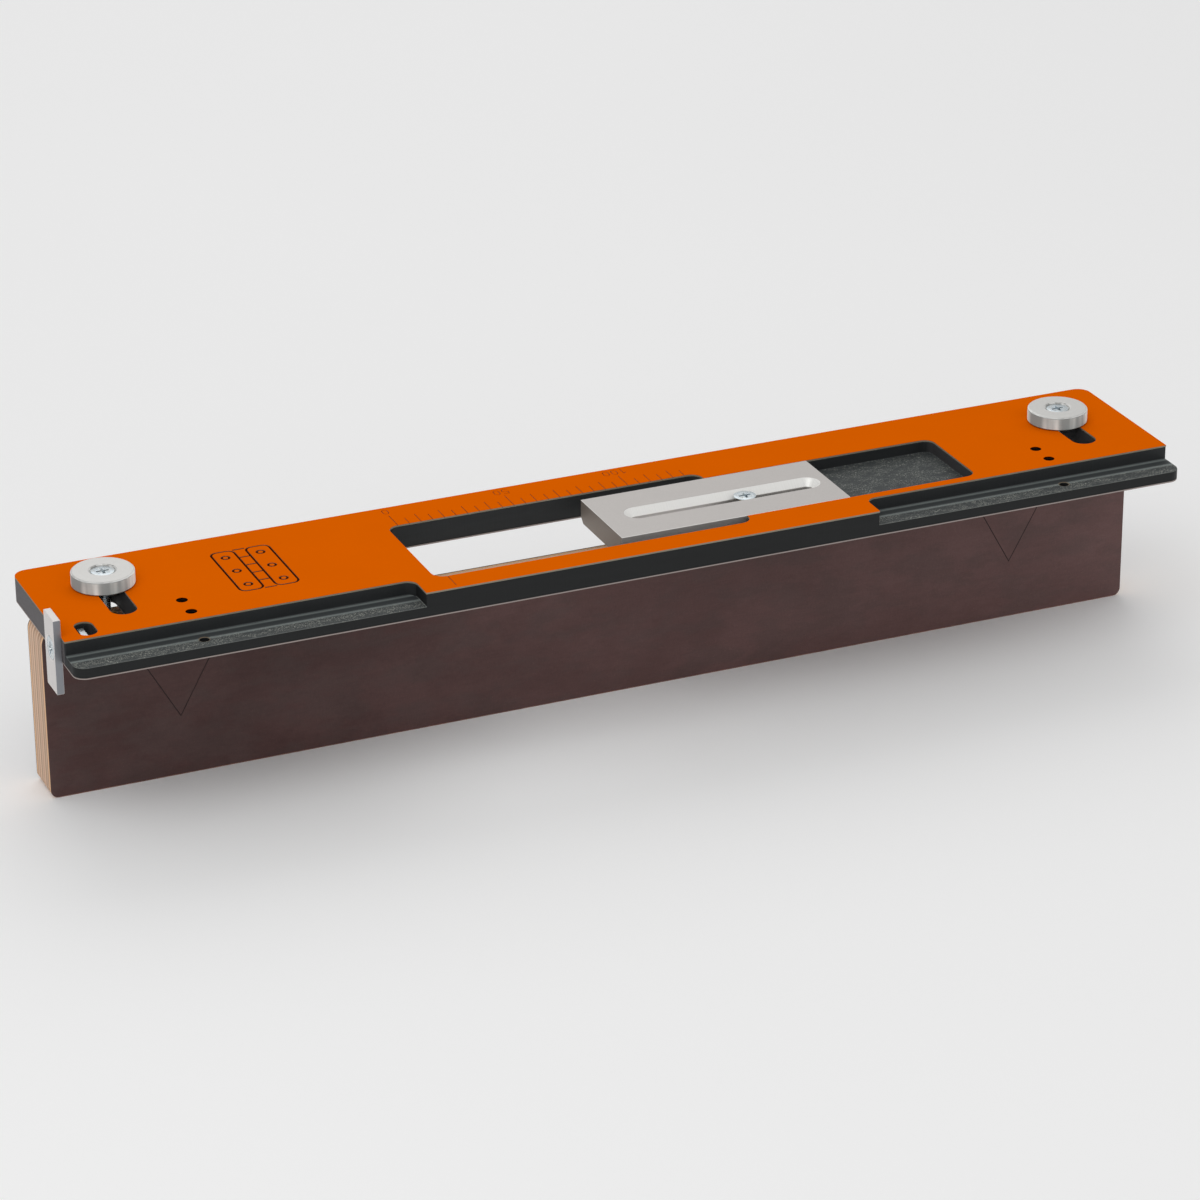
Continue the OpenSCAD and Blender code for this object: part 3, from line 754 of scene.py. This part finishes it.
@dataclass(frozen=True)
class PhenolicFilm:
    """Dark reddish-brown film of the board, mottled by the veneer under it and painted lighter towards its
    right.
    """

    foot: float
    surface: float
    outward: float
    reach: float
    colour: Colour = srgb(70, 48, 46)
    lit_and_mottle_colour: Colour = srgb(116, 88, 86)
    grey_colour: Colour = srgb(80, 69, 67)
    edge_colour: Colour = srgb(176, 128, 112)
    scribe_colour: Colour = srgb(50, 37, 36)
    scribe_depth: float = 0.07 * MM
    worn_edge: float = 0.5 * MM
    cloud_grain: Grain = (34 * MM, 24 * MM, 24 * MM)
    veneer_grain: Grain = (7 * MM, 4 * MM, 1.6 * MM)
    speck_size: float = 1.3 * MM
    blush_grain: Grain = (22 * MM, 16 * MM, 9 * MM)
    weft_grain: Grain = (2.6 * MM, 1 * MM, 0.35 * MM)
    warp_grain: Grain = (0.35 * MM, 1 * MM, 2.6 * MM)
    pebble_grain: Grain = 0.7 * MM
    fray_grain: Grain = (5 * MM, 5 * MM, 0.8 * MM)

    def material(self) -> bpy.types.Material:
        """Build the finish.

        Returns:
            The material.
        """
        name = "phenolic_film_front" if self.outward < 0 else "phenolic_film_back"
        s = Surface(name, IOR=1.5, Specular_IOR_Level=0.2)
        x, y, z = s.place
        cloud = s.noise(self.cloud_grain, 4.0, 0.6)
        grain = s.noise(self.veneer_grain, 4.0, 0.6)
        speck = s.specks(self.speck_size, 0.05, 0.16)
        blush = s.noise(self.blush_grain, 4.0, 0.6).ramp(0.42, 0.62)
        threads = s.noise(self.weft_grain, 3.0, 0.6) + s.noise(self.warp_grain, 3.0, 0.6)
        pebble = s.noise(self.pebble_grain, 3.0, 0.6)
        # Painted light: the film is painted lighter towards the right, with the veneer's mottle on top.
        painted_light_fade = x.ramp(-self.reach, self.reach)
        light = (painted_light_fade * 0.5 + cloud.ramp(0.36, 0.68) * 0.18 + grain * 0.1 + 0.06).at_most(1.0)
        colour = s.mix(light, self.colour, self.lit_and_mottle_colour)
        colour = s.mix(blush * 0.3, colour, self.grey_colour)
        colour = s.tint(colour, 0.62 + grain * 0.12 + pebble * 0.22 + speck * 0.3 + threads * 0.2)

        frayed = s.noise(self.fray_grain, 3.0)
        rim = 1 - (z - self.foot).ramp(self.worn_edge * 0.5, self.worn_edge)
        colour = s.mix(rim * frayed * 0.8, colour, self.edge_colour)
        depth = (self.surface - y) * self.outward
        scribed = depth.ramp(self.scribe_depth * 0.5, self.scribe_depth) * s.facing_along(Axis.Y, 0.5, 0.9)
        colour = s.mix(scribed, colour, self.scribe_colour)
        relief = (grain * 0.02 + pebble * 0.006 + threads * 0.004) * MM
        return s.finish(colour, 0.34 + cloud * 0.14 + grain * 0.08, relief)


def mesh_object(name: str, build: Callable[[bmesh.types.BMesh], None]) -> bpy.types.Object:
    """Make an object from mesh code.

    Args:
        name: The object's name.
        build: Fills an empty mesh.

    Returns:
        The object, linked to the scene.
    """
    work = bmesh.new()
    build(work)
    bmesh.ops.recalc_face_normals(work, faces=work.faces)
    mesh = bpy.data.meshes.new(name)
    work.to_mesh(mesh)
    work.free()
    made = bpy.data.objects.new(name, mesh)
    bpy.context.scene.collection.objects.link(made)
    return made


def soften(piece: bpy.types.Object, width: float, segments: int = 2, angle: float = 28.0) -> None:
    """Round the sharp edges of a piece by a small radius.

    Args:
        piece: The piece.
        width: Width of the rounding.
        segments: Faces across the rounding.
        angle: Least angle of an edge that is rounded, in degrees.
    """
    weld = piece.modifiers.new("weld", "WELD")
    weld.merge_threshold = SAME_POINT
    flat = piece.modifiers.new("flat", "DECIMATE")
    flat.decimate_type = "DISSOLVE"
    flat.angle_limit = math.radians(FLAT_ANGLE)
    flat.delimit = {"NORMAL"}
    bevel = piece.modifiers.new("edges", "BEVEL")
    bevel.width = width
    bevel.segments = segments
    bevel.limit_method = "ANGLE"
    bevel.angle_limit = math.radians(angle)
    bevel.use_clamp_overlap = False
    bevel.harden_normals = False
    weighted = piece.modifiers.new("shading", "WEIGHTED_NORMAL")
    weighted.keep_sharp = False
    weighted.weight = AREA_WEIGHT


def dress(piece: bpy.types.Object, material: bpy.types.Material, slot: str) -> None:
    """Give a piece one material and log the name of its slot.

    Args:
        piece: The piece.
        material: Its finish.
        slot: The slot's name.
    """
    piece.data.materials.clear()
    piece.data.materials.append(material)
    LOG.info("%s is dressed as %s", piece.name, slot)


@dataclass
class CountersunkScrew:
    """A countersunk machine screw with a rolled thread and a cross recess.

    It is drawn along -Z with the face of its head at the origin, and every height is counted
    from there. A tooth of the thread rises and falls evenly, and its crest and root are cut flat.
    """

    node: str
    body: str
    axis: Axis = Axis.Z
    sides: int = 48
    smooth_angle: float = 32.0
    head_d: float = 9.2 * MM
    head_rim: float = 0.3 * MM
    head_edge: float = 0.12 * MM
    thread_d: float = 5 * MM
    core_d: float = 4.1 * MM
    pitch: float = 0.8 * MM
    rows_per_turn: int = 8
    tooth_rise: float = 1.35
    tooth_drop: float = 0.12
    neck_share: float = 0.3
    tip_chamfer: float = 0.6 * MM
    tip_tooth_share: float = 0.25
    tip_narrow_share: float = 0.3
    recess_w: float = 5.2 * MM
    recess_foot_w: float = 3.3 * MM
    recess_depth: float = 2 * MM
    arm_w: float = 1.1 * MM
    arm_foot_w: float = 0.85 * MM
    socket_w: float = 2.15 * MM
    socket_depth_share: float = 0.96
    tick_in: float = 1.7 * MM
    tick_out: float = 3.3 * MM
    tick_w: float = 0.24 * MM
    tick_foot_share: float = 0.5
    tick_depth: float = 0.14 * MM
    cutter_lift: float = 0.2 * MM

    length: float = field(init=False)

    def __post_init__(self) -> None:
        """Take the screw's length, from the face of its head to its tip, from its node."""
        low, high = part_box(self.node)
        self.length = high[self.axis.value] - low[self.axis.value]

    @property
    def cone_foot(self) -> float:
        """Return the height of the foot of the head's cone."""
        return -(self.head_rim + (self.head_d - self.thread_d) / 2)

    def place(self) -> Matrix:
        """Find where the screw belongs.

        Returns:
            The matrix that moves it from the origin to its node.
        """
        low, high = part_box(self.node)
        middle = (low + high) / 2
        if self.axis is Axis.Z:
            return Matrix.Translation((middle.x, middle.y, high.z))
        return Matrix.Translation((low.x, middle.y, middle.z)) @ Matrix.Rotation(-math.pi / 2, 4, "Y")

    def radius(self, z: float, turn: float) -> float:
        """Work out the radius of the threaded shank.

        Args:
            z: Height.
            turn: Share of a turn around the axis.

        Returns:
            The radius there, with the thread run out under the head and at the tip.
        """
        outer, core = self.thread_d / 2, self.core_d / 2
        flank = abs(2 * ((z / self.pitch - turn) % 1) - 1)
        tooth = min(1.0, max(0.0, self.tooth_rise * flank - self.tooth_drop))
        neck = self.cone_foot - self.neck_share * self.pitch
        under_head = min(1.0, max(0.0, (neck - z) / self.pitch))
        at_tip = min(1.0, max(0.0, (z + self.length) / self.tip_chamfer))
        left_at_tip = self.tip_tooth_share + (1 - self.tip_tooth_share) * at_tip
        narrowing = (1 - at_tip) * self.tip_narrow_share * self.tip_chamfer
        return core + (outer - core) * tooth * under_head * left_at_tip - narrowing

    def ring(self, work: bmesh.types.BMesh, radii: Sequence[float], z: float) -> list[bmesh.types.BMVert]:
        """Add one ring of points around the axis.

        Args:
            work: The mesh.
            radii: Radius at each side.
            z: Height of the ring.

        Returns:
            The points, in order.
        """
        turns = [2 * math.pi * k / self.sides for k in range(self.sides)]
        return [work.verts.new((r * math.cos(t), r * math.sin(t), z)) for r, t in zip(radii, turns)]

    def wrap(self, work: bmesh.types.BMesh, rings: Sequence[Sequence[bmesh.types.BMVert]]) -> None:
        """Join rings into a skin.

        Args:
            work: The mesh.
            rings: The rings, from the head towards the tip.
        """
        for upper, lower in zip(rings, rings[1:]):
            for k in range(self.sides):
                after = (k + 1) % self.sides
                work.faces.new((upper[k], upper[after], lower[after], lower[k]))

    def build_head(self, work: bmesh.types.BMesh) -> None:
        """Draw the head as a closed cone.

        Args:
            work: The mesh, which is empty.
        """
        outer, rim, edge = self.thread_d / 2, self.head_d / 2, self.head_edge
        profile = [
            (rim - edge, 0.0),
            (rim - edge / 4, -edge / 4),
            (rim, -edge),
            (rim, -self.head_rim),
            (outer + edge, self.cone_foot + edge),
            (self.core_d / 2, self.cone_foot),
        ]
        rings = [self.ring(work, [r] * self.sides, z) for r, z in profile]
        self.wrap(work, rings)
        work.faces.new(rings[0])
        work.faces.new(tuple(reversed(rings[-1])))

    def add_thread(self, work: bmesh.types.BMesh) -> None:
        """Open the foot of the head and join the threaded shank to it.

        Args:
            work: The mesh, which holds the head.
        """
        feet = [f for f in work.faces if all(abs(v.co.z - self.cone_foot) < SAME_POINT for v in f.verts)]
        bmesh.ops.delete(work, geom=feet, context="FACES_ONLY")
        thread_length = self.length + self.cone_foot
        rows = round(thread_length / self.pitch * self.rows_per_turn)
        rings = [self.ring(work, [self.core_d / 2] * self.sides, self.cone_foot)]
        for i in range(1, rows + 1):
            z = self.cone_foot - i * thread_length / rows
            rings.append(self.ring(work, [self.radius(z, k / self.sides) for k in range(self.sides)], z))
        self.wrap(work, rings)
        work.faces.new(tuple(reversed(rings[-1])))
        bmesh.ops.remove_doubles(work, verts=work.verts, dist=SAME_POINT)
        bmesh.ops.recalc_face_normals(work, faces=work.faces)

    def tapered_block(
        self, work: bmesh.types.BMesh, top: Pair, foot: Pair, depth: float, turn: float, out: float = 0.0
    ) -> None:
        """Draw a block that cuts into the head and narrows towards its foot.

        Args:
            work: The mesh.
            top: Length and width of its upper face.
            foot: Length and width of its lower face.
            depth: How deep it reaches under the face of the head.
            turn: Its turn about the axis, in degrees.
            out: How far its middle lies from the axis.
        """
        spin = Matrix.Rotation(math.radians(turn), 3, "Z")
        levels = []
        for (long, wide), z in ((top, self.cutter_lift), (foot, -depth)):
            points = [spin @ Vector((out + sx * long / 2, sy * wide / 2, z)) for sx, sy in SQUARE]
            levels.append([work.verts.new(p) for p in points])
        upper, lower = levels
        work.faces.new(upper)
        work.faces.new(tuple(reversed(lower)))
        for k in range(len(SQUARE)):
            after = (k + 1) % len(SQUARE)
            work.faces.new((upper[after], upper[k], lower[k], lower[after]))

    def build_recess(self, work: bmesh.types.BMesh) -> None:
        """Draw the tapered cross and the four ticks that are cut into the head.

        Args:
            work: The mesh, which is empty.
        """
        grow = 1 + self.cutter_lift / self.recess_depth * (1 - self.recess_foot_w / self.recess_w)
        arm, arm_foot = (self.recess_w * grow, self.arm_w), (self.recess_foot_w, self.arm_foot_w)
        for turn in (0, 90):
            self.tapered_block(work, arm, arm_foot, self.recess_depth, turn)
        wide, narrow = self.socket_w * grow, self.socket_w * self.recess_foot_w / self.recess_w
        socket_depth = self.recess_depth * self.socket_depth_share
        self.tapered_block(work, (wide, wide), (narrow, narrow), socket_depth, 45)
        length = self.tick_out - self.tick_in
        middle = (self.tick_out + self.tick_in) / 2
        tick, tick_foot = (length, self.tick_w), (length, self.tick_w * self.tick_foot_share)
        for turn in (45, 135, 225, 315):
            self.tapered_block(work, tick, tick_foot, self.tick_depth, turn, middle)

    def cut_recess(self, screw: bpy.types.Object) -> bpy.types.Mesh:
        """Cut the cross and the ticks into the head.

        Args:
            screw: The screw, which is only a head so far.

        Returns:
            The cut mesh.
        """
        cutter = mesh_object(screw.name + "_cutter", self.build_recess)
        cut = screw.modifiers.new("recess", "BOOLEAN")
        cut.operation = "DIFFERENCE"
        cut.solver = "EXACT"
        cut.use_self = True
        cut.object = cutter
        bpy.context.view_layer.update()
        graph = bpy.context.evaluated_depsgraph_get()
        mesh = bpy.data.meshes.new_from_object(screw.evaluated_get(graph))
        screw.modifiers.clear()
        screw.data = mesh
        bpy.data.objects.remove(cutter)
        return mesh

    def build(self, material: bpy.types.Material) -> None:
        """Make the screw, put it where its node is and let it ride on its body.

        Args:
            material: The screw's finish.
        """
        screw = mesh_object(self.node + "_threaded", self.build_head)
        mesh = self.cut_recess(screw)
        work = bmesh.new()
        work.from_mesh(mesh)
        self.add_thread(work)
        work.to_mesh(mesh)
        work.free()
        mesh.transform(self.place())
        mesh.update()
        for face in mesh.polygons:
            face.use_smooth = True
        mesh.set_sharp_from_angle(angle=math.radians(self.smooth_angle))
        dress(screw, material, "zinc_steel")
        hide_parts(self.node)
        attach(screw, self.body)


@dataclass
class Template:
    """The slotted plate with its laminates, its insert and the square nut."""

    nodes: dict[str, bpy.types.Object]
    core_edge: float = 0.35 * MM
    laminate_edge: float = 0.12 * MM
    nut_edge: float = 0.3 * MM
    hole_span: float = 369.8 * MM
    hole_in: float = 6.6 * MM
    pin_span: float = 370.4 * MM
    pin_ins: Pair = (20.5 * MM, 31.9 * MM)
    pin_reach: float = 2.5 * MM
    ledge_w: float = 13.5 * MM
    centre_from_end: float = 237.7 * MM
    sign_reach: float = 120 * MM

    def pair(self, span: float, inward: float) -> list[Vector]:
        """Find the middles of a left and a right hole.

        Args:
            span: Their distance.
            inward: How far they lie from the plate's front.

        Returns:
            The two middles.
        """
        low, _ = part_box("template_plate")
        middle = low.x + self.centre_from_end
        return [Vector((middle + side * span / 2, low.y + inward, 0)) for side in (-1, 1)]

    def build(self) -> None:
        """Dress the plate's nodes."""
        corner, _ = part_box("template_plate")
        low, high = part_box("top_laminate")
        holes = self.pair(self.hole_span, self.hole_in)
        pins = [pin for inward in self.pin_ins for pin in self.pair(self.pin_span, inward)]
        core = PhenolicCore(corner.y, corner.x, self.ledge_w, holes, pins, self.pin_reach)
        laminate = OrangeLaminate(high.z, low.x + self.sign_reach, pins, self.pin_reach)
        dress(self.nodes["top_laminate"], laminate.material(), "orange_laminate")
        for name, finish, slot, edge in (
            ("template_plate", core, "phenolic_core", self.core_edge),
            ("backing_laminate", BackingLaminate(), "backing_laminate", self.laminate_edge),
            ("stop_insert", InsertBrass(), "insert_brass", self.laminate_edge),
            ("end_stop_nut", ZincSteel(), "zinc_steel", self.nut_edge),
        ):
            dress(self.nodes[name], finish.material(), slot)
            soften(self.nodes[name], edge)


@dataclass
class Stops:
    """The sliding stop block and the swivelling end stop."""

    nodes: dict[str, bpy.types.Object]
    block_edge: float = 0.3 * MM
    bar_edge: float = 0.35 * MM
    edge_faces: int = 3

    def build(self) -> None:
        """Dress the two stops and make their screws."""
        block, bar = self.nodes["stop_block"], self.nodes["end_stop_bar"]
        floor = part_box("stop_insert")[1].z
        dress(block, BlastedAluminium(floor).material(), "blasted_aluminium")
        dress(bar, BarAluminium().material(), "bar_aluminium")
        soften(block, self.block_edge, self.edge_faces)
        soften(bar, self.bar_edge, self.edge_faces)
        zinc = ZincSteel().material()
        CountersunkScrew("stop_screw", "stop_screw").build(zinc)
        CountersunkScrew("end_stop_screw", "end_stop_screw", Axis.X).build(zinc)


@dataclass
class Clamps:
    """The two clamps: a disc washer, its screw and the insert in the fence."""

    nodes: dict[str, bpy.types.Object]
    disc_edge: float = 0.18 * MM
    disc_edge_angle: float = 20.0
    insert_edge: float = 0.15 * MM

    def build(self) -> None:
        """Dress the washers and inserts and make the clamp screws."""
        zinc = ZincSteel().material()
        for side in ("left", "right"):
            disc, insert = self.nodes[f"clamp_disc_{side}"], self.nodes[f"fence_insert_{side}"]
            low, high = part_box(disc.name)
            finish = TurnedAluminium(f"turned_aluminium_{side}", (low + high) / 2, high.z)
            dress(disc, finish.material(), "turned_aluminium")
            dress(insert, InsertBrass().material(), "insert_brass")
            soften(disc, self.disc_edge, angle=self.disc_edge_angle)
            soften(insert, self.insert_edge)
            CountersunkScrew(f"clamp_screw_{side}", f"clamp_screw_{side}").build(zinc)


@dataclass
class Fence:
    """The plywood board with its two films."""

    nodes: dict[str, bpy.types.Object]
    core_edge: float = 0.25 * MM
    film_edge: float = 0.1 * MM

    def build(self) -> None:
        """Dress the core and the films."""
        core = self.nodes["fence_core"]
        low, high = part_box("fence_core")
        dress(core, BirchPlywood(low.y, high.y).material(), "birch_plywood")
        soften(core, self.core_edge)
        for name, corner, outward in (("fence_front_film", 0, -1.0), ("fence_back_film", 1, 1.0)):
            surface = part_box(name)[corner].y
            finish = PhenolicFilm(low.z, surface, outward, high.x)
            dress(self.nodes[name], finish.material(), "phenolic_film")
            soften(self.nodes[name], self.film_edge)


@dataclass(frozen=True)
class SoftBox:
    """A square soft light that is aimed at the origin."""

    name: str
    place: tuple[float, float, float]
    power: float
    size: float

    def hang(self) -> None:
        """Put the light into the scene."""
        light = bpy.data.lights.new(self.name, "AREA")
        light.energy = self.power
        light.size = self.size
        lamp = bpy.data.objects.new(self.name, light)
        lamp.location = self.place
        lamp.rotation_euler = (-Vector(self.place)).to_track_quat("-Z", "Y").to_euler()
        bpy.context.scene.collection.objects.link(lamp)


@dataclass
class Studio:
    """The plain pale floor, the soft lights and the camera."""

    camera_at: Vector = field(default_factory=lambda: Vector((-0.64877, -1.51438, 0.79283)))
    camera_towards: Vector = field(default_factory=lambda: Vector((0.356196, 0.837824, -0.413734)))
    camera_roll: float = -0.4167
    lens: float = 134.48
    sensor: float = 36.0
    sight: float = 100.0
    floor_size: float = 14.0
    floor_colour: Colour = srgb(250, 250, 250)
    haze_grain: Grain = 0.4
    sky_colour: Colour = (1.0, 1.0, 1.0, 1.0)
    sky_strength: float = 0.62
    lights: tuple[SoftBox, ...] = (
        SoftBox("key", (-0.9, -0.7, 1.5), 7.0, 1.2),
        SoftBox("fill", (1.3, -1.2, 1.0), 3.0, 1.6),
        SoftBox("back", (0.3, 1.4, 1.5), 5.0, 1.4),
    )

    def draw_floor(self, work: bmesh.types.BMesh) -> None:
        """Draw one large square."""
        half = self.floor_size / 2
        work.faces.new([work.verts.new((sx * half, sy * half, 0)) for sx, sy in SQUARE])

    def build_floor(self) -> None:
        """Lay the floor under the jig."""
        floor = mesh_object("floor", self.draw_floor)
        s = Surface("pale_floor", Roughness=0.85)
        haze = s.noise(self.haze_grain)
        floor.data.materials.append(s.finish(s.tint(self.floor_colour, 0.99 + haze * 0.02)))

    def build_lights(self) -> None:
        """Hang the soft lights and set the sky."""
        for light in self.lights:
            light.hang()
        sky = bpy.data.worlds.new("sky")
        sky.use_nodes = True
        background = sky.node_tree.nodes["Background"]
        background.inputs["Color"].default_value = self.sky_colour
        background.inputs["Strength"].default_value = self.sky_strength
        bpy.context.scene.world = sky
        bpy.context.scene.view_settings.view_transform = "Standard"

    def build_camera(self) -> None:
        """Set the camera up where the photograph was taken from."""
        data = bpy.data.cameras.new("camera")
        data.lens = self.lens
        data.sensor_width = self.sensor
        data.clip_end = self.sight
        camera = bpy.data.objects.new("camera", data)
        turn = self.camera_towards.to_track_quat("-Z", "Y").to_matrix().to_4x4()
        roll = Matrix.Rotation(math.radians(self.camera_roll), 4, "Z")
        camera.matrix_world = Matrix.Translation(self.camera_at) @ turn @ roll
        bpy.context.scene.collection.objects.link(camera)
        bpy.context.scene.camera = camera

    def build(self) -> None:
        """Set up the whole studio."""
        self.build_camera()
        self.build_floor()
        self.build_lights()


def main() -> None:
    """Dress every sub-assembly."""
    logging.basicConfig(level=logging.INFO, format="%(message)s")
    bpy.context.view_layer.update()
    nodes = frame["nodes"]
    Studio().build()
    Template(nodes).build()
    Stops(nodes).build()
    Clamps(nodes).build()
    Fence(nodes).build()


if __name__ == "__main__":
    main()
